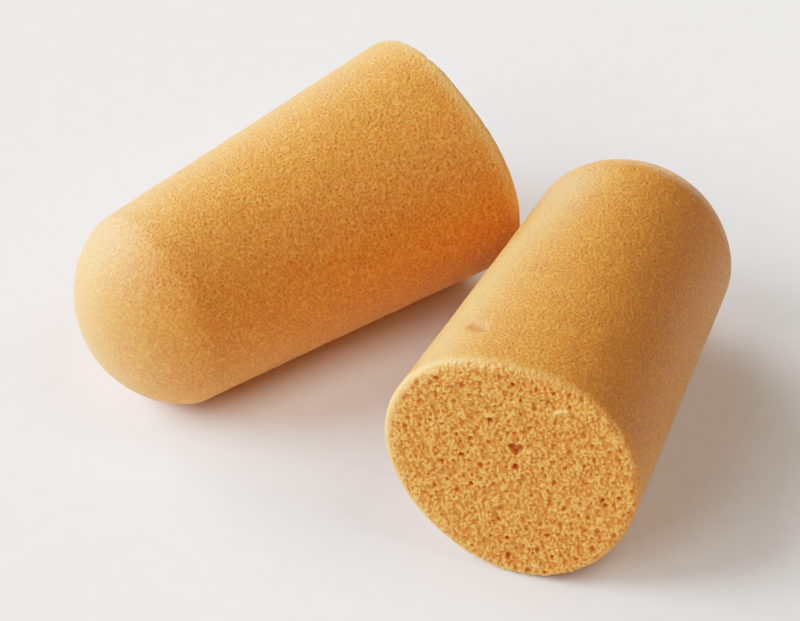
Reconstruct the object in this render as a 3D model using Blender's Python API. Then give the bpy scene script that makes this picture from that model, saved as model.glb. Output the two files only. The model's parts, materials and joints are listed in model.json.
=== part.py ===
"""A pair of loose foam ear plugs, lying side by side on a flat surface.

Each plug is one piece of foam: a tapered round body with a domed tip for the ear canal and a
flat base, cut square or a little askew from the moulding. The two are alike in their main
sizes, and each has its own slight squash and its own slant of the cut.

Metres, +Z up. The surface is z = 0, and the origin is under the middle of the pair.
"""

import math

import bmesh
import bpy
from mathutils import Matrix, Vector

# Sizes that the two plugs share
PLUG_LENGTH = 0.0240
BASE_RADIUS = 0.0069
SHOULDER_RADIUS = 0.00575
SHOULDER_DISTANCE = 0.0201  # from the base to where the dome begins
SHOULDER_BLEND = 0.0020  # radius that softens the shoulder
RIM_RADIUS = 0.0003  # the base's rounded edge

# What differs from plug to plug. The place is the middle of the base, the azimuth is the way
# the tip points, from +X towards +Y, and the cut's slant is the lean of its top towards the tip.
# A squash is a share of the radius at the base, with the angle round the axis at which the plug
# is widest, from level towards up, and it fades out along the plug to the dome.
PLUGS = {
    "left_plug": {
        "place": (0.00225, 0.00605),
        "azimuth": math.radians(217.4),
        "slant": math.radians(-3.8),
        "oval": (0.075, math.radians(-2.0)),
        "three_sided": (0.037, math.radians(3.0)),
    },
    "right_plug": {
        "place": (0.00599, -0.01960),
        "azimuth": math.radians(69.4),
        "slant": math.radians(9.5),
        "oval": (0.072, math.radians(9.0)),
        "three_sided": (0.029, math.radians(22.0)),
    },
}

# Fineness of the meshes
SIDES = 72
RIM_STEPS = 3
BLEND_STEPS = 4
DOME_STEPS = 8

FOAM_COLOUR = (0.74, 0.38, 0.11, 1.0)
FOAM_ROUGHNESS = 0.85


def clear_scene():
    for obj in list(bpy.data.objects):
        bpy.data.objects.remove(obj, do_unlink=True)


def foam_material(name):
    material = bpy.data.materials.new(name)
    material.use_nodes = True
    shader = material.node_tree.nodes["Principled BSDF"]
    shader.inputs["Base Color"].default_value = FOAM_COLOUR
    shader.inputs["Roughness"].default_value = FOAM_ROUGHNESS
    shader.inputs["Metallic"].default_value = 0.0
    return material


def arc(centre, radius, start, end, steps):
    """Points on a circle in the profile's plane, angles measured from the plug's axis."""
    angles = [start + (end - start) * i / steps for i in range(steps + 1)]
    return [
        Vector((centre[0] + radius * math.cos(a), centre[1] + radius * math.sin(a)))
        for a in angles
    ]


def plug_profile():
    """Half the plug's outline as (distance along the axis, radius), from the rim to the apex."""
    dome_height = PLUG_LENGTH - SHOULDER_DISTANCE
    dome_radius = (SHOULDER_RADIUS**2 + dome_height**2) / (2 * dome_height)
    dome_centre = PLUG_LENGTH - dome_radius
    taper = math.atan2(BASE_RADIUS - SHOULDER_RADIUS, SHOULDER_DISTANCE)

    # The rim and the shoulder are arcs that touch the straight side. Both of their centres lie
    # inside it by their own radius, and the shoulder's also lies inside the dome by its radius.
    inward = Vector((-math.sin(taper), -math.cos(taper)))
    side_start = Vector((0.0, BASE_RADIUS))
    side_along = Vector((math.cos(taper), -math.sin(taper)))

    def centre_at(distance, radius):
        return side_start + side_along * distance + inward * radius

    rim_distance = RIM_RADIUS * (1 + math.sin(taper)) / math.cos(taper)
    rim_centre = centre_at(rim_distance, RIM_RADIUS)

    near = side_start + inward * SHOULDER_BLEND - Vector((dome_centre, 0.0))
    reach = dome_radius - SHOULDER_BLEND
    middle = near.dot(side_along)
    blend_distance = -middle + math.sqrt(middle**2 - near.length_squared + reach**2)
    blend_centre = centre_at(blend_distance, SHOULDER_BLEND)

    side_angle = math.pi / 2 - taper
    dome_start = math.atan2(blend_centre.y, blend_centre.x - dome_centre)
    return (
        arc(rim_centre, RIM_RADIUS, math.pi, side_angle, RIM_STEPS)
        + arc(blend_centre, SHOULDER_BLEND, side_angle, dome_start, BLEND_STEPS)
        + arc((dome_centre, 0.0), dome_radius, dome_start, 0.0, DOME_STEPS)[1:]
    )


def shaped(point, plug):
    """A point of the round plug, moved by the plug's squash and by the slant of its cut."""
    along, across, up = point
    fade = max(0.0, 1 - along / SHOULDER_DISTANCE)
    angle = math.atan2(up, across)
    oval, oval_angle = plug["oval"]
    lobe, lobe_angle = plug["three_sided"]
    swell = oval * math.cos(2 * (angle - oval_angle)) + lobe * math.cos(3 * (angle - lobe_angle))
    across *= 1 + fade * swell
    up *= 1 + fade * swell
    return Vector((along + fade * up * math.tan(plug["slant"]), across, up))


def plug_mesh(name, plug):
    """The plug's closed mesh: base centre at the origin, tip along +X."""
    mesh = bmesh.new()
    outline = [mesh.verts.new((along, radius, 0.0)) for along, radius in plug_profile()]
    outline[-1].co.y = 0.0
    edges = [mesh.edges.new(pair) for pair in zip(outline, outline[1:])]
    bmesh.ops.spin(
        mesh,
        geom=outline + edges,
        cent=(0.0, 0.0, 0.0),
        axis=(1.0, 0.0, 0.0),
        angle=2 * math.pi,
        steps=SIDES,
        use_merge=True,
    )
    bmesh.ops.remove_doubles(mesh, verts=mesh.verts, dist=1e-7)
    for vertex in mesh.verts:
        vertex.co = shaped(vertex.co, plug)
    rim = [edge for edge in mesh.edges if edge.is_boundary]
    bmesh.ops.contextual_create(mesh, geom=rim)
    bmesh.ops.recalc_face_normals(mesh, faces=mesh.faces)
    data = bpy.data.meshes.new(name)
    mesh.to_mesh(data)
    mesh.free()
    data.shade_smooth()
    data.set_sharp_from_angle(angle=math.radians(40))
    return data


def resting_pitch(points):
    """How far the plug tips, tip down, for its underside to lie along the surface."""
    middle = PLUG_LENGTH / 2
    back = [p for p in points if p.x < middle]
    front = [p for p in points if p.x >= middle]
    pitch = 0.0
    for _ in range(4):
        turn = Matrix.Rotation(pitch, 4, "Y")
        low_back = min(back, key=lambda p: (turn @ p).z)
        low_front = min(front, key=lambda p: (turn @ p).z)
        pitch = math.atan2(low_front.z - low_back.z, low_front.x - low_back.x)
    return pitch


def add_plug(name, plug):
    """The plug as an object on the surface, its azimuth and place as stated."""
    data = plug_mesh(name, plug)
    points = [vertex.co.copy() for vertex in data.vertices]
    pitch = resting_pitch(points)
    turn = Matrix.Rotation(plug["azimuth"], 4, "Z") @ Matrix.Rotation(pitch, 4, "Y")
    obj = bpy.data.objects.new(name, data)
    obj.rotation_euler = turn.to_euler()
    obj.location = (*plug["place"], -min((turn @ p).z for p in points))
    data.materials.append(foam_material(name + "_foam"))
    bpy.context.scene.collection.objects.link(obj)
    return obj


def centre_over_origin(objects):
    """Moves the pair so that its box is centred on the origin, seen from above."""
    bpy.context.view_layer.update()
    points = [obj.matrix_world @ vertex.co for obj in objects for vertex in obj.data.vertices]
    middle_x = (min(p.x for p in points) + max(p.x for p in points)) / 2
    middle_y = (min(p.y for p in points) + max(p.y for p in points)) / 2
    for obj in objects:
        obj.location.x -= middle_x
        obj.location.y -= middle_y


clear_scene()
centre_over_origin([add_plug(name, plug) for name, plug in PLUGS.items()])
bpy.context.view_layer.update()
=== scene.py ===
"""Looks of the pair of foam ear plugs: skin, cut bases, light and camera.

Each plug is one closed mesh of foam. Its skin is what the mould left, and its base was cut, so that
the foam's cells are open there. Lengths are in millimetres where a name ends in _MM, else metres.
"""

import json
import math

import bpy
import numpy as np
from mathutils import Matrix, Vector, geometry, kdtree, noise


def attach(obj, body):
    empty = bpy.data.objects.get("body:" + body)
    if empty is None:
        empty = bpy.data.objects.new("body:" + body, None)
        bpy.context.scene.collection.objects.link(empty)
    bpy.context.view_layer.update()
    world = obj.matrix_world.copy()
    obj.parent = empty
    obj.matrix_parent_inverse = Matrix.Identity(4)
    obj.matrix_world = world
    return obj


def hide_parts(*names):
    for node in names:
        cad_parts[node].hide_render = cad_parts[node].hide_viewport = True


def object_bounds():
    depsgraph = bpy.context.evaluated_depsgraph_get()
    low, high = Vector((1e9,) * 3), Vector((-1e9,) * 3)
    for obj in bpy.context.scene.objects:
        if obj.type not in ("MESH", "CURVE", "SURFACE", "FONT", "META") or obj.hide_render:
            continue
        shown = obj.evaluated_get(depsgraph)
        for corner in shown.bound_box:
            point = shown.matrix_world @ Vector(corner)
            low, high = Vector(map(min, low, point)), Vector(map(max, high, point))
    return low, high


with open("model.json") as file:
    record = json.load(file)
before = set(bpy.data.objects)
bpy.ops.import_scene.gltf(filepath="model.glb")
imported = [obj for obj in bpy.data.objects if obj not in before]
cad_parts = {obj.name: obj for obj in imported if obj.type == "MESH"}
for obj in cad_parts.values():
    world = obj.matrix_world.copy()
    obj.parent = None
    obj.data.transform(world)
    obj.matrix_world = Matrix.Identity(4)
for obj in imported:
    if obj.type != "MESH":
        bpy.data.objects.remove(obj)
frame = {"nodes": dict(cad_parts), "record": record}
cad_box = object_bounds()

MM = 0.001

# The plug's outline, with its length and squash read from the frame
BASE_RADIUS_MM = 6.9
SHOULDER_RADIUS_MM = 5.75
SHOULDER_MM = 20.1  # from the base to where the dome begins
SHOULDER_BLEND_MM = 2.0
RIM_RADIUS_MM = 0.45  # the cut's edge, softened
TAPER = math.atan2(BASE_RADIUS_MM - SHOULDER_RADIUS_MM, SHOULDER_MM)
RIM_TURN = math.pi / 2 + TAPER

# Fineness of the meshes
SEGMENTS = 228
SKIN_STEP_MM = 0.23
CUT_STEP_MM = 0.053
CUT_JITTER = 0.18  # of a step, so that the lattice does not show
EDGE_GAP = 0.6  # of a step, between the lattice and the edge

# Open cells of the cut, in the order they are placed: tries, radius, its spread, depth, wall kept around
CELL_KINDS = (
    {"tries": 30, "radius": 0.180, "spread": 0.15, "depth": 0.15, "wall": 0.45},
    {"tries": 500, "radius": 0.230, "spread": 0.20, "depth": 0.11, "wall": 0.20},
    {"tries": 8000, "radius": 0.115, "spread": 0.25, "depth": 0.075, "wall": 0.05},
    {"tries": 30000, "radius": 0.070, "spread": 0.15, "depth": 0.045, "wall": 0.0},
)
CELL_DEPTH_SPREAD = (0.6, 1.25)
LARGEST_CELL_MM = 0.45
# the cut is painted darker with depth: painted shade in its cells
DEEPEST_MM = 0.30  # depth at which the foam has its deepest tone
VOID_DEPTH_MM = 0.24
FULL_VOID_RADIUS_MM = 0.2  # smaller voids are shallower in proportion
RAGGED_MM = 0.10  # how far a cell's outline wanders
RAGGED_SIZE_MM = 0.24
RAGGED_SEED = 1795051262  # noise_vector's own: without one, the clock would change the outlines each run

# Crumbs between the cells: round ones, and unevenness over them as (size, share of CRUMB_MM, seed factor)
CRUMB_MM = 0.050
CRUMB_RADIUS_MM = 0.13
CRUMBS_PER_MM2 = 24
ROUND_CRUMB_SHARE = 1.5
CRUMB_SINK = 0.8
CRUMB_UNEVENNESS = ((0.09, 0.4, -1), (0.40, 1.1, 3), (0.9, 0.5, 2))

# The cut's border, measured from the skin, round the rim and inwards
BORDER_MM = 0.20  # to where the cells begin
OPENING_MM = 0.22  # from there to where they are fully open
BORDER_WANDER_MM = 0.15
BORDER_WANDER_SIZE_MM = 0.45
DRAWN_MM = 0.45  # how much wider the border is where the skin was drawn over it
BORDER_RELIEF = 0.12  # share of the relief that is left on the border

# The pale edge, measured the same way: where it is palest, and how wide it is. Its paleness is partly
# painted highlight, widest and strongest on the drawn side, which faces the lights, and weakest opposite,
# in shade.
EDGE_MM = 0.3
EDGE_WIDTH_MM = 0.35
DRAWN_EDGE_WIDTH_MM = 0.6
DRAWN_PALENESS_AND_HIGHLIGHT = 0.65
FAR_EDGE_LOSS = 0.6  # how much less pale it is opposite the drawn side

# The skin's swells and dents, as (size, height)
SWELLS_MM = ((4.2, 0.030), (1.3, 0.012), (0.5, 0.008))

SLIVER_HEIGHT_MM = 0.16
CREASE_DEPTH_MM = 0.20

# Where the blade came out, it drew the skin over the cut's edge: drawn is that side's direction, the side
# that faces the lights, and the paleness painted there is partly painted highlight. Shade is 0 for the
# plug painted lighter, as if more lit, and 1 for the plug painted darker, as if in shade: painted light
# and shade. Places are (across, up) on the cut and (along, across, up) on the skin. A void is (across, up,
# radius), and the other marks are (start, end, width).
PLUGS = {
    "left_plug": {
        "seed": 11,
        "drawn": (0.6, 0.8),
        "shade": 0.0,
        "voids": [],
        "slivers": [],
        "creases": [],
        # a painted highlight: a pale streak on the tip, where the lights fall
        "painted_highlights": [((24.2, 0.6, 0.0), (22.4, -2.0, 3.5), 3.8)],
    },
    "right_plug": {
        "seed": 4,
        "drawn": (0.97, -0.24),
        "shade": 1.0,
        "voids": [
            (0.02, 1.38, 0.31),
            (-0.38, 1.40, 0.30),
            (-0.18, 1.12, 0.30),
            (-0.27, 0.21, 0.28),
            (-5.50, -0.75, 0.22),
            (-5.30, -0.50, 0.18),
            (1.43, 2.70, 0.20),
            (2.41, 1.28, 0.20),
            (2.83, 0.08, 0.20),
            (2.12, -1.57, 0.18),
            (-0.20, -4.42, 0.22),
            (-0.30, -5.48, 0.20),
            (0.40, -3.38, 0.18),
            (-2.44, -3.57, 0.18),
            (-3.66, -2.45, 0.09),
            (-1.33, -1.40, 0.12),
            (-2.53, -5.95, 0.20),
        ],
        "slivers": [((-2.15, 4.18), (-2.95, 4.52), 0.13), ((-1.72, -5.62), (-2.20, -5.62), 0.08)],
        "creases": [((4.65, 4.20, 5.25), (4.00, 3.00, 5.78), 0.32)],
        # painted highlights: a pale band of light along the skin's lit left side
        "painted_highlights": [
            ((18.0, 3.0, 5.0), (11.0, 4.9, 4.2), 1.7),
            ((11.0, 4.9, 4.2), (3.0, 5.3, 4.6), 1.7),
        ],
    },
}


# ---------------------------------------------------------------- the plug's frame and shape


def plug_axes(node):
    """The plug's own axes from the frame: base centre, then along to the tip, across and up."""
    mount = next(m for m in frame["record"]["mounts"] if m["name"] == node + "_base")
    base = Vector(mount["pos_m"])
    apex = max((v.co for v in frame["nodes"][node].data.vertices), key=lambda p: (p - base).length)
    along = (apex - base).normalized()
    up = (Vector((0, 0, 1)) - along * along.z).normalized()
    across = up.cross(along)
    axes = Matrix((along, across, up)).transposed().to_4x4()
    axes.translation = base
    out = axes.to_3x3().transposed() @ Vector(mount["axis"])
    return {
        "axes": axes,
        "length": (apex - base).length / MM,
        "slope": (-out.y / out.x, -out.z / out.x),
        "out": out,
    }


def rim_terms(node, plug):
    """The squash of the base's outline, as shares of its radius: cosine and sine, 2nd and 3rd order."""
    inverse = plug["axes"].inverted()
    points = [inverse @ v.co for v in frame["nodes"][node].data.vertices]
    on_cut = {tuple(round(c, 7) for c in p) for p in points if abs(p.dot(plug["out"])) < 1e-6}
    flat = np.array([(p[1], p[2]) for p in on_cut if math.hypot(p[1], p[2]) > BASE_RADIUS_MM * MM / 2])
    angle = np.arctan2(flat[:, 1], flat[:, 0])
    radius = np.hypot(flat[:, 0], flat[:, 1])
    share = radius / radius.mean()
    return [
        (order, 2 * (share * np.cos(order * angle)).mean(), 2 * (share * np.sin(order * angle)).mean())
        for order in (2, 3)
    ]


def arc(centre, radius, start, end, step):
    count = max(2, math.ceil(abs(end - start) * radius / step))
    angles = np.linspace(start, end, count + 1)
    return [(centre[0] + radius * math.cos(a), centre[1] + radius * math.sin(a)) for a in angles]


def line(start, end, step):
    count = max(1, math.ceil(math.dist(start, end) / step))
    return [tuple(np.array(start) + (np.array(end) - start) * i / count) for i in range(1, count)]


def rim_centre():
    """The centre of the circle that rounds the rim, (along, radius)."""
    side = np.array((math.cos(TAPER), -math.sin(TAPER)))
    inward = np.array((-math.sin(TAPER), -math.cos(TAPER)))
    past_corner = RIM_RADIUS_MM * (1 + math.sin(TAPER)) / math.cos(TAPER)
    return np.array((0.0, BASE_RADIUS_MM)) + side * past_corner + inward * RIM_RADIUS_MM


def skin_profile(length):
    """Half the skin's outline, (along, radius) in millimetres, from the rim to the apex."""
    dome_height = length - SHOULDER_MM
    dome_radius = (SHOULDER_RADIUS_MM**2 + dome_height**2) / (2 * dome_height)
    dome_centre = length - dome_radius
    side = np.array((math.cos(TAPER), -math.sin(TAPER)))
    inward = np.array((-math.sin(TAPER), -math.cos(TAPER)))

    start = np.array((0.0, BASE_RADIUS_MM))
    near = start + inward * SHOULDER_BLEND_MM - (dome_centre, 0.0)
    middle = near @ side
    reach = dome_radius - SHOULDER_BLEND_MM
    blend_distance = -middle + math.sqrt(middle**2 - near @ near + reach**2)
    blend_centre = start + side * blend_distance + inward * SHOULDER_BLEND_MM

    side_angle = math.pi / 2 - TAPER
    dome_angle = math.atan2(blend_centre[1], blend_centre[0] - dome_centre)
    rim_end = tuple(rim_centre() - inward * RIM_RADIUS_MM)
    shoulder = arc(blend_centre, SHOULDER_BLEND_MM, side_angle, dome_angle, SKIN_STEP_MM)
    dome = arc((dome_centre, 0.0), dome_radius, dome_angle, 0.0, SKIN_STEP_MM)
    dome[-1] = (length, 0.0)
    return np.array([rim_end] + line(rim_end, shoulder[0], SKIN_STEP_MM) + shoulder + dome[1:])


def squash(along, angle, plug):
    """The share by which the plug's squash widens it there, which fades out towards the dome."""
    fade = np.clip(1 - along / SHOULDER_MM, 0, 1)
    swell = sum(c * np.cos(n * angle) + s * np.sin(n * angle) for n, c, s in plug["terms"])
    return 1 + fade * swell


def slanted(along, across, up, plug):
    """Leans the base end of the plug to the slant of its cut."""
    fade = np.clip(1 - along / SHOULDER_MM, 0, 1)
    return along + fade * (across * plug["slope"][0] + up * plug["slope"][1])


# ---------------------------------------------------------------- the open cells


def scatter_reach():
    """How far out cells and crumbs are scattered: past the widest part of the squashed outline."""
    return 1.1 * spread_radius()


def scatter_cells(rng, voids):
    """Open cells over the cut, the great ones first, each with a wall around it: x, y, radius, depth."""
    bin_size = 2 * LARGEST_CELL_MM + max(kind["wall"] for kind in CELL_KINDS)
    reach = scatter_reach()
    bins = {}
    cells = []

    def place(x, y, radius, depth):
        bins.setdefault((int(x // bin_size), int(y // bin_size)), []).append((x, y, radius))
        cells.append((x, y, radius, depth))

    for x, y, radius in voids:
        place(x, y, radius, VOID_DEPTH_MM * min(1.0, radius / FULL_VOID_RADIUS_MM))
    for kind in CELL_KINDS:
        spots = rng.uniform(-reach, reach, (kind["tries"], 2))
        radii = kind["radius"] * np.exp(kind["spread"] * rng.normal(size=kind["tries"]))
        depths = kind["depth"] * rng.uniform(*CELL_DEPTH_SPREAD, kind["tries"])
        for (x, y), radius, depth in zip(spots, radii, depths):
            column, row = int(x // bin_size), int(y // bin_size)
            around = (
                cell
                for i in (-1, 0, 1)
                for j in (-1, 0, 1)
                for cell in bins.get((column + i, row + j), ())
            )
            if all(math.dist((x, y), cell[:2]) > radius + cell[2] + kind["wall"] for cell in around):
                place(x, y, radius, depth)
    return cells


def cell_depths(points, rng, voids, seed):
    """How deep the open cells go at each point of the cut, in millimetres."""
    noise.seed_set(RAGGED_SEED)
    warp = np.array(
        [noise.noise_vector(Vector((x / RAGGED_SIZE_MM, y / RAGGED_SIZE_MM, seed)))[:2] for x, y in points]
    )
    tree = kdtree.KDTree(len(points))
    for i, (x, y) in enumerate(points + RAGGED_MM * warp):
        tree.insert((x, y, 0.0), i)
    tree.balance()
    depths = np.zeros(len(points))
    for x, y, radius, depth in scatter_cells(rng, voids):
        for _, i, distance in tree.find_range((x, y, 0.0), radius):
            bowl = depth * (1 - (distance / radius) ** 2) ** 1.5
            depths[i] = max(depths[i], bowl)
    return depths


def crumbs(points, rng, seed):
    """The uneven crumb that the blade left between the cells, in millimetres outwards."""
    reach = scatter_reach()
    spots = rng.uniform(-reach, reach, (int(CRUMBS_PER_MM2 * (2 * reach) ** 2), 2))
    tree = kdtree.KDTree(len(spots))
    for i, (x, y) in enumerate(spots):
        tree.insert((x, y, 0.0), i)
    tree.balance()
    height = np.empty(len(points))
    for i, (x, y) in enumerate(points):
        distance = tree.find((x, y, 0.0))[2]
        crumb = ROUND_CRUMB_SHARE * max(0.0, 1 - (distance / CRUMB_RADIUS_MM) ** 2)
        uneven = sum(
            share * noise.noise(Vector((x / size, y / size, factor * seed)))
            for size, share, factor in CRUMB_UNEVENNESS
        )
        height[i] = crumb - CRUMB_SINK + uneven
    return CRUMB_MM * height


def nearness(points, start, end, width, narrowing=0.65):
    """From 1 on the line between two points to 0 beyond its width, narrowing to its ends."""
    start, end = np.array(start), np.array(end)
    along = np.clip((points - start) @ (end - start) / ((end - start) @ (end - start)), 0, 1)
    distance = np.linalg.norm(points - start - along[:, None] * (end - start), axis=1)
    taper = 1 - narrowing + narrowing * np.sin(math.pi * along)
    return np.exp(-((distance / (width * taper)) ** 2))


# ---------------------------------------------------------------- building a plug


def skin_unevenness(points, seed):
    """Small dents and swells of the skin, in millimetres outwards."""
    shifts = [Vector(axis) * seed for axis in ((1, 0, 0), (0, 1, 0), (0, 0, 1))]
    out = np.empty(len(points))
    for i, point in enumerate(points):
        place = Vector(point)
        out[i] = sum(
            height * noise.noise(place / size + shift) for (size, height), shift in zip(SWELLS_MM, shifts)
        )
    return out


def skin_rings(plug):
    """The skin's points, ring by ring from the rim to the tip, and their distance from the rim."""
    profile = skin_profile(plug["length"])
    turn = np.arange(SEGMENTS) * 2 * math.pi / SEGMENTS
    along = np.repeat(profile[:-1, 0], SEGMENTS)
    turn = np.tile(turn, len(profile) - 1)
    radius = np.repeat(profile[:-1, 1], SEGMENTS) * squash(along, turn, plug)
    across, up = radius * np.cos(turn), radius * np.sin(turn)
    points = np.stack([slanted(along, across, up, plug), across, up], axis=1)
    steps = np.linalg.norm(np.diff(profile, axis=0), axis=1)
    travelled = np.concatenate([[0.0], np.cumsum(steps)])
    from_rim = np.append(np.repeat(travelled[:-1], SEGMENTS), travelled[-1])
    return np.vstack([points, [plug["length"], 0, 0]]), from_rim


def skin_faces(rings):
    """Quads from ring to ring, and triangles to the tip."""
    steps = np.arange(SEGMENTS)
    after = (steps + 1) % SEGMENTS
    faces = []
    for ring in range(rings - 1):
        a, b = ring * SEGMENTS, (ring + 1) * SEGMENTS
        faces += np.stack([a + steps, a + after, b + after, b + steps], axis=1).tolist()
    last = (rings - 1) * SEGMENTS
    return faces + [(last + i, last + j, rings * SEGMENTS) for i, j in zip(steps, after)]


def spread_radius():
    """Radius of the cut with its rounded rim rolled out flat."""
    return rim_centre()[1] + RIM_RADIUS_MM * RIM_TURN


def spread_lattice(plug, rng):
    """The edge of the spread-out cut, one point for each of the skin's, and a fine lattice inside it."""
    turn = np.arange(SEGMENTS) * 2 * math.pi / SEGMENTS
    radius = spread_radius() * squash(0, turn, plug)
    edge = np.stack([radius * np.cos(turn), radius * np.sin(turn)], axis=1)
    row_step = CUT_STEP_MM * math.sqrt(3) / 2
    row_count = math.ceil(radius.max() / row_step)
    column_count = math.ceil(radius.max() / CUT_STEP_MM)
    columns, rows = np.meshgrid(
        np.arange(-column_count, column_count + 1), np.arange(-row_count, row_count + 1)
    )
    lattice = np.stack([(columns + 0.5 * (rows % 2)) * CUT_STEP_MM, rows * row_step], axis=-1)
    lattice = lattice.reshape(-1, 2)
    limit = spread_radius() * squash(0, np.arctan2(lattice[:, 1], lattice[:, 0]), plug)
    lattice = lattice[np.hypot(*lattice.T) < limit - EDGE_GAP * CUT_STEP_MM]
    return edge, lattice + rng.uniform(-CUT_JITTER, CUT_JITTER, lattice.shape) * CUT_STEP_MM


def roll_up(lattice, plug):
    """Where the spread-out cut's points lie, flat in the middle and bent round the rim, and how far in."""
    turn = np.arctan2(lattice[:, 1], lattice[:, 0])
    inset = spread_radius() - np.hypot(*lattice.T) / squash(0, turn, plug)
    bend = math.pi - RIM_TURN + np.minimum(inset / RIM_RADIUS_MM, RIM_TURN)
    centre = rim_centre()
    along = centre[0] + RIM_RADIUS_MM * np.cos(bend)
    past_rim = np.maximum(inset - RIM_RADIUS_MM * RIM_TURN, 0)
    radius = (centre[1] + RIM_RADIUS_MM * np.sin(bend) - past_rim) * squash(along, turn, plug)
    across, up = radius * np.cos(turn), radius * np.sin(turn)
    return np.stack([slanted(along, across, up, plug), across, up], axis=1), inset


def cut_faces(edge, lattice, first):
    """Triangles over the cut. The lattice's points are numbered from first, after the skin's."""
    flat = [Vector(p) for p in np.vstack([edge, lattice])]
    made = geometry.delaunay_2d_cdt(flat, [], [list(range(SEGMENTS))], 1, 1e-6, True)
    origin = [ids[0] for ids in made[3]]
    number = np.concatenate([np.arange(SEGMENTS), first + np.arange(len(lattice))])
    return [[int(number[origin[i]]) for i in reversed(face)] for face in made[2]]


def smooth_step(value):
    value = np.clip(value, 0, 1)
    return value * value * (3 - 2 * value)


def store(mesh, name, values):
    mesh.attributes.new(name, "FLOAT", "POINT").data.foreach_set("value", values.astype(np.float32))


def open_cut(lattice, inset, drawn, seed):
    """How far the cells are open at each point of the cut. Their border wanders round the rim."""
    size = BORDER_WANDER_SIZE_MM
    wander = np.array([noise.noise(Vector((x / size, y / size, seed))) for x, y in lattice])
    border = BORDER_MM - BORDER_WANDER_MM * wander + DRAWN_MM * drawn**2
    return smooth_step((inset - border) / OPENING_MM)


def cut_relief(lattice, inset, opened, rng, look):
    """Crumbs and open cells over the cut, in millimetres outwards, fading out over its border."""
    relief = crumbs(lattice, rng, look["seed"]) - cell_depths(lattice, rng, look["voids"], look["seed"])
    return relief * (BORDER_RELIEF * smooth_step(inset / BORDER_MM) + (1 - BORDER_RELIEF) * opened)


def fade_from_edge(distance, width):
    """1 where the edge is palest, fading over the width to both sides."""
    return np.exp(-(((distance - EDGE_MM) / width) ** 2))


def outward_directions(mesh):
    directions = np.empty(len(mesh.vertices) * 3)
    mesh.vertex_normals.foreach_get("vector", directions)
    return directions.reshape(-1, 3)


def build_plug(node, look):
    """The plug's piece, whose points carry how cut and hollow the foam is there, how pale, and where shade
    and highlights are painted on it.
    """
    plug = plug_axes(node)
    plug["terms"] = rim_terms(node, plug)
    rng = np.random.default_rng(look["seed"])

    skin, from_rim = skin_rings(plug)
    cut_edge, lattice = spread_lattice(plug, rng)
    cut, inset = roll_up(lattice, plug)
    faces = skin_faces(len(skin) // SEGMENTS) + cut_faces(cut_edge, lattice, len(skin))
    points = np.vstack([skin, cut])
    on_skin, on_cut = slice(0, len(skin)), slice(len(skin), None)
    mesh = bpy.data.meshes.new(node + "_foam")
    mesh.from_pydata(points.tolist(), [], faces)
    mesh.update()

    side = points[:, 1:] @ np.array(look["drawn"]) / BASE_RADIUS_MM
    drawn, undrawn = np.clip(side, 0, 1), np.clip(-side, 0, 1)
    opened = open_cut(lattice, inset, drawn[on_cut], look["seed"])
    height = skin_unevenness(points, look["seed"])
    relief = np.zeros(len(points))
    relief[on_cut] = cut_relief(lattice, inset, opened, rng, look)
    height += relief
    # how hollow the cut is there, which sets its painted shading: painted shade in the cells, painted
    # highlight on the crumbs' tops
    hollow = -relief / DEEPEST_MM

    from_skin = np.concatenate([-from_rim, inset])
    # a pale rim round the cut, partly painted highlight: paler on the drawn side, which faces the lights,
    # and less pale opposite, in shade
    edge = fade_from_edge(from_skin, EDGE_WIDTH_MM) * (1 - FAR_EDGE_LOSS * undrawn)
    pale = DRAWN_PALENESS_AND_HIGHLIGHT * drawn * fade_from_edge(from_skin, DRAWN_EDGE_WIDTH_MM)
    crease = np.zeros(len(points))
    # the slivers stand up from the cut and are painted pale, partly as a painted highlight on them
    for start, end, width in look["slivers"]:
        near = nearness(lattice, start, end, width)
        height[on_cut] += SLIVER_HEIGHT_MM * near
        pale[on_cut] += near
        hollow[on_cut] *= 1 - near
    # the creases are dented, and painted darker as painted shade in them
    for start, end, width in look["creases"]:
        near = nearness(skin, start, end, width)
        height[on_skin] -= CREASE_DEPTH_MM * near
        crease[on_skin] += near
    # painted highlights: pale streaks along the skin's lit side
    painted_highlights = [nearness(points, start, end, width, narrowing=0.0) for start, end, width in look["painted_highlights"]]

    world = np.array(plug["axes"])
    points = (points + outward_directions(mesh) * height[:, None]) * MM @ world[:3, :3].T + world[:3, 3]
    mesh.vertices.foreach_set("co", points.astype(np.float32).ravel())
    store(mesh, "cut", np.concatenate([np.zeros(len(skin)), opened]))
    store(mesh, "edge", edge)
    store(mesh, "hollow", hollow)
    store(mesh, "pale", pale)
    store(mesh, "crease", crease)
    store(mesh, "painted_highlight", np.max(painted_highlights, axis=0))
    # which plug is painted lighter and which darker: painted light and shade
    store(mesh, "shade", np.full(len(points), look["shade"]))
    mesh.shade_smooth()
    mesh.update()
    piece = bpy.data.objects.new(node + "_foam", mesh)
    bpy.context.scene.collection.objects.link(piece)
    return piece


# ---------------------------------------------------------------- materials

# Tones of the foam, from darkest to palest. The skin's grain takes them at random; on the cut they follow
# the relief, as painted shade in its hollows and painted highlight on the crumbs' tops, where it is
# thinnest.
DEEP_SHADE_TONE = (0.523, 0.098, 0.008)
LOW_TONE = (0.601, 0.168, 0.017)
MID_TONE = (0.732, 0.255, 0.036)
HIGH_TONE = (0.826, 0.358, 0.075)
CRUMB_HIGHLIGHT_TONE = (0.872, 0.458, 0.130)
PALE_TONE = (0.920, 0.556, 0.202)
# a painted highlight: the pale band of light on the skin's lit side
PAINTED_HIGHLIGHT_TONE = (0.740, 0.500, 0.240)
# painted shade in the creases
CREASE_SHADE_TONE = (0.500, 0.150, 0.004)

# Fineness of the foam's grain, per millimetre
PITS_PER_MM = 6.0
GRAIN_PER_MM = 11.0
PORES_PER_MM = 3.2
FLECKS_PER_MM = 2.0
BLOTCHES_PER_MM = 0.9

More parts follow.
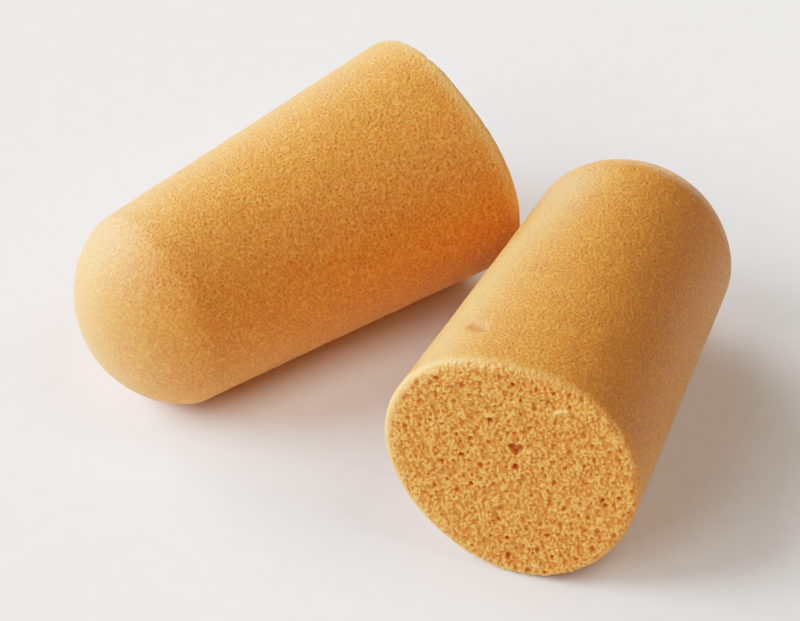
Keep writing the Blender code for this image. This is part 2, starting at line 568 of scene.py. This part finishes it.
PIT_STRENGTH = 0.65
GRAIN_STRENGTH = 0.40
GRAIN_DEPTH_MM = 0.055  # of the bump that both make
SCATTER_MM = 1.2  # how far light spreads in the foam

# How much of its tone each mark takes on: the pores' deep tone is painted shade in their pits, the
# streaks' tone is a painted highlight, the edge's pale tone is partly painted highlight, and the flecks'
# is their own
PORE_SHADE_TINT = 0.6
FLECK_TINT = 0.5
PAINTED_HIGHLIGHT_TINT = 0.32
EDGE_PALE_AND_HIGHLIGHT_TINT = 0.40

# Painted light and shade: what the skin's tones are multiplied by on the plug painted lighter, as if more
# lit, and on the plug painted darker and less blue, as if in shade
LIT_PLUG_PAINT = (1.06, 1.08, 1.08)
SHADED_PLUG_PAINT = (0.89, 0.89, 0.72)


def new_material(name):
    material = bpy.data.materials.new(name)
    material.use_nodes = True
    tree = material.node_tree
    return material, tree, tree.nodes["Principled BSDF"]


def add(tree, kind, **settings):
    node = tree.nodes.new(kind)
    for key, value in settings.items():
        if key in node.inputs:
            node.inputs[key].default_value = value
        else:
            setattr(node, key, value)
    return node


def in_millimetres(tree):
    """The surface's own place, in millimetres, so that every scale below is per millimetre."""
    place = add(tree, "ShaderNodeTexCoord")
    scale = add(tree, "ShaderNodeVectorMath", operation="SCALE", Scale=1 / MM)
    tree.links.new(place.outputs["Object"], scale.inputs[0])
    return scale.outputs[0]


def noise_at(tree, place, scale, detail, roughness=0.5):
    made = add(tree, "ShaderNodeTexNoise", Scale=scale, Detail=detail, Roughness=roughness)
    tree.links.new(place, made.inputs["Vector"])
    return made.outputs["Fac"]


def ramp(tree, value, stops):
    made = add(tree, "ShaderNodeValToRGB")
    elements = made.color_ramp.elements
    while len(elements) < len(stops):
        elements.new(0.5)
    for element, (position, colour) in zip(elements, stops):
        element.position = position
        element.color = (*colour, 1)
    tree.links.new(value, made.inputs["Fac"])
    return made.outputs["Color"]


def blend_colours(tree, factor, first, second, mode="MIX"):
    made = add(tree, "ShaderNodeMix", data_type="RGBA", blend_type=mode)
    for value, socket in ((factor, made.inputs[0]), (first, made.inputs[6]), (second, made.inputs[7])):
        if isinstance(value, bpy.types.NodeSocket):
            tree.links.new(value, socket)
        elif isinstance(value, tuple):
            socket.default_value = (*value, 1)
        else:
            socket.default_value = value
    return made.outputs[2]


def remap(tree, value, low, high, to_low, to_high):
    made = add(tree, "ShaderNodeMapRange")
    for name, number in zip(("From Min", "From Max", "To Min", "To Max"), (low, high, to_low, to_high)):
        made.inputs[name].default_value = number
    tree.links.new(value, made.inputs["Value"])
    return made.outputs["Result"]


def attribute(tree, name):
    return add(tree, "ShaderNodeAttribute", attribute_name=name).outputs["Fac"]


def combine(tree, operation, first, second):
    made = add(tree, "ShaderNodeMath", operation=operation)
    for value, socket in ((first, made.inputs[0]), (second, made.inputs[1])):
        if isinstance(value, bpy.types.NodeSocket):
            tree.links.new(value, socket)
        else:
            socket.default_value = value
    return made.outputs[0]


def multiply(tree, first, second):
    return combine(tree, "MULTIPLY", first, second)


def speck_mask(tree, place, per_mm, radius, share):
    """1 inside sparse specks: one point in each cell of a random grid, of which only a share counts."""
    points = add(tree, "ShaderNodeTexVoronoi", feature="F1", Scale=per_mm)
    tree.links.new(place, points.inputs["Vector"])
    inside = remap(tree, points.outputs["Distance"], radius * per_mm, 0.6 * radius * per_mm, 0.0, 1.0)
    chosen = add(tree, "ShaderNodeSeparateColor")
    tree.links.new(points.outputs["Color"], chosen.inputs[0])
    return multiply(tree, inside, combine(tree, "LESS_THAN", chosen.outputs[0], share))


def grain_at(tree, place):
    """Fine pits close together, and a finer unevenness over them, about 0.5 on the whole."""
    pits = add(tree, "ShaderNodeTexVoronoi", feature="F1", Scale=PITS_PER_MM)
    tree.links.new(place, pits.inputs["Vector"])
    pitted = multiply(tree, pits.outputs["Distance"], PIT_STRENGTH)
    fine = noise_at(tree, place, GRAIN_PER_MM, detail=1.5, roughness=0.7)
    uneven = multiply(tree, fine, GRAIN_STRENGTH)
    return combine(tree, "ADD", pitted, uneven)


def foam_material():
    """One foam all over: fine-grained skin, which gives way to open cells and pale crumb on the cut. Shade
    and highlights are painted into its colour: shade in the cells, pores and creases and on one plug,
    highlights on the crumbs, the rim and the skin's lit side.
    """
    material, tree, shader = new_material("foam")
    place = in_millimetres(tree)
    grain = grain_at(tree, place)
    skin_tone = ramp(tree, grain, [(0.28, LOW_TONE), (0.54, MID_TONE), (0.80, HIGH_TONE)])
    # the pores are pits in the bump, and painted darker as painted shade in them
    pores = speck_mask(tree, place, PORES_PER_MM, radius=0.10, share=0.45)
    skin_tone = blend_colours(tree, multiply(tree, pores, PORE_SHADE_TINT), skin_tone, DEEP_SHADE_TONE)
    flecks = speck_mask(tree, place, FLECKS_PER_MM, radius=0.06, share=0.30)
    skin_tone = blend_colours(tree, multiply(tree, flecks, FLECK_TINT), skin_tone, PALE_TONE)
    # painted highlights: pale streaks along the skin's lit side
    painted_highlight_share = multiply(tree, attribute(tree, "painted_highlight"), PAINTED_HIGHLIGHT_TINT)
    skin_tone = blend_colours(tree, painted_highlight_share, skin_tone, PAINTED_HIGHLIGHT_TONE)
    # painted light and shade: one plug's skin lighter, the other's darker
    shade = ramp(tree, attribute(tree, "shade"), [(0.0, LIT_PLUG_PAINT), (1.0, SHADED_PLUG_PAINT)])
    skin_tone = blend_colours(tree, 1.0, skin_tone, shade, "MULTIPLY")

    # the cut's tone follows its relief: painted shade deep in the cells, painted highlight on the crumbs'
    # tops
    hollow = attribute(tree, "hollow")
    relief = remap(tree, hollow, -0.25, 1.0, 0.0, 1.0)
    cut_painted_shading = ramp(
        tree,
        relief,
        [(0.0, CRUMB_HIGHLIGHT_TONE), (0.14, HIGH_TONE), (0.27, MID_TONE), (0.48, LOW_TONE), (0.95, DEEP_SHADE_TONE)],
    )

    tone = blend_colours(tree, attribute(tree, "cut"), skin_tone, cut_painted_shading)
    # painted shade in the creases
    crease_shade = remap(tree, attribute(tree, "crease"), 0.1, 0.7, 0.0, 1.0)
    tone = blend_colours(tree, crease_shade, tone, CREASE_SHADE_TONE)
    # the pale rim and the drawn side's paleness, partly painted highlight
    tone = blend_colours(tree, multiply(tree, attribute(tree, "edge"), EDGE_PALE_AND_HIGHLIGHT_TINT), tone, PALE_TONE)
    tone = blend_colours(tree, attribute(tree, "pale"), tone, PALE_TONE)
    blotch = noise_at(tree, place, BLOTCHES_PER_MM, detail=3.0)
    blotched = ramp(tree, blotch, [(0.3, (0.93, 0.90, 0.86)), (0.7, (1.0, 1.0, 1.0))])
    tone = blend_colours(tree, 1.0, tone, blotched, "MULTIPLY")
    tree.links.new(tone, shader.inputs["Base Color"])

    bump = add(tree, "ShaderNodeBump", Strength=1.0, Distance=GRAIN_DEPTH_MM * MM)
    pitted = combine(tree, "SUBTRACT", grain, multiply(tree, pores, 0.5))
    tree.links.new(pitted, bump.inputs["Height"])
    tree.links.new(bump.outputs["Normal"], shader.inputs["Normal"])
    tree.links.new(remap(tree, blotch, 0.3, 0.7, 0.50, 0.62), shader.inputs["Roughness"])

    shader.inputs["Subsurface Weight"].default_value = 0.75
    shader.inputs["Subsurface Radius"].default_value = (1.0, 0.30, 0.08)
    shader.inputs["Subsurface Scale"].default_value = SCATTER_MM * MM
    shader.inputs["Specular IOR Level"].default_value = 0.35
    shader.inputs["Sheen Weight"].default_value = 0.22
    shader.inputs["Sheen Roughness"].default_value = 0.4
    shader.inputs["Sheen Tint"].default_value = (1.0, 0.86, 0.62, 1.0)
    return material


# ---------------------------------------------------------------- stage, light and camera

CAMERA_ELEVATION = math.radians(43.0)
CAMERA_DISTANCE = 0.4906
CAMERA_LENS = 400.0
AIM_OFFSET = Vector((-0.18, -1.5, 0.0)) * MM  # from the middle of the pair
FLOOR_HALF_SIZE = 0.6
FLOOR_TONES = ((0.91, 0.91, 0.91), (0.94, 0.94, 0.94))
AMBIENT = 0.01

# Soft lights far away: azimuth from the viewer's side towards +X, elevation, strength and colour
SOFTNESS = math.radians(35)
LIGHTS = {
    "back_light": (225, 12, 1.56, (0.96, 1.00, 1.03)),
    "key_light": (270, 35, 1.30, (0.98, 1.00, 1.01)),
    "high_back_light": (225, 35, 0.27, (1.00, 1.00, 1.00)),
    "left_light": (315, 35, 0.43, (1.00, 0.98, 0.98)),
    "right_light": (90, 60, 0.37, (1.00, 0.87, 0.72)),
}

# The camera's response to light, as a film's: contrast in its shadows and a shoulder in its lights
CONTRAST = 1.2
SHOULDER = 4.6
RESPONSE_STOPS = (0.01, 0.03, 0.06, 0.11, 0.18, 0.28, 0.42, 0.60, 0.80)


def add_floor():
    mesh = bpy.data.meshes.new("floor")
    size = FLOOR_HALF_SIZE
    corners = [(-size, -size, 0), (size, -size, 0), (size, size, 0), (-size, size, 0)]
    mesh.from_pydata(corners, [], [(0, 1, 2, 3)])
    floor = bpy.data.objects.new("floor", mesh)
    material, tree, shader = new_material("floor_paper")
    place = in_millimetres(tree)
    paper = noise_at(tree, place, scale=0.8, detail=2.0)
    tone = ramp(tree, paper, [(0.3, FLOOR_TONES[0]), (0.7, FLOOR_TONES[1])])
    tree.links.new(tone, shader.inputs["Base Color"])
    shader.inputs["Roughness"].default_value = 0.9
    shader.inputs["Specular IOR Level"].default_value = 0.1
    mesh.materials.append(material)
    bpy.context.scene.collection.objects.link(floor)


def add_lights():
    for name, (azimuth, elevation, strength, colour) in LIGHTS.items():
        light = bpy.data.lights.new(name, "SUN")
        light.angle = SOFTNESS
        light.energy = strength
        light.color = colour
        lamp = bpy.data.objects.new(name, light)
        a, e = math.radians(azimuth), math.radians(elevation)
        back = Vector((math.sin(a) * math.cos(e), -math.cos(a) * math.cos(e), math.sin(e)))
        lamp.rotation_euler = (-back).to_track_quat("-Z", "Y").to_euler()
        bpy.context.scene.collection.objects.link(lamp)


def add_world():
    world = bpy.data.worlds.new("studio")
    world.use_nodes = True
    background = world.node_tree.nodes["Background"]
    background.inputs["Color"].default_value = (1, 1, 1, 1)
    background.inputs["Strength"].default_value = AMBIENT
    bpy.context.scene.world = world


def add_camera():
    """A long lens far away, aimed at the middle of the pair."""
    low, high = cad_box
    aim = (low + high) / 2 + AIM_OFFSET
    back = Vector((0, -math.cos(CAMERA_ELEVATION), math.sin(CAMERA_ELEVATION)))
    data = bpy.data.cameras.new("camera")
    data.lens = CAMERA_LENS
    data.sensor_width = 36.0
    data.clip_start, data.clip_end = 0.01, 10.0
    camera = bpy.data.objects.new("camera", data)
    camera.location = aim + back * CAMERA_DISTANCE
    camera.rotation_euler = (-back).to_track_quat("-Z", "Y").to_euler()
    bpy.context.scene.collection.objects.link(camera)
    bpy.context.scene.camera = camera


def set_response():
    view = bpy.context.scene.view_settings
    view.view_transform = "Standard"
    view.use_curve_mapping = True
    mapping = view.curve_mapping
    for x in RESPONSE_STOPS:
        share = x**CONTRAST
        mapping.curves[3].points.new(x, (1 + SHOULDER) * share / (1 + SHOULDER * share))
    mapping.update()


add_camera()
add_world()
add_lights()
set_response()
add_floor()

foam = foam_material()
for node, look in PLUGS.items():
    piece = build_plug(node, look)
    piece.data.materials.append(foam)
    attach(piece, node)
    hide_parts(node)
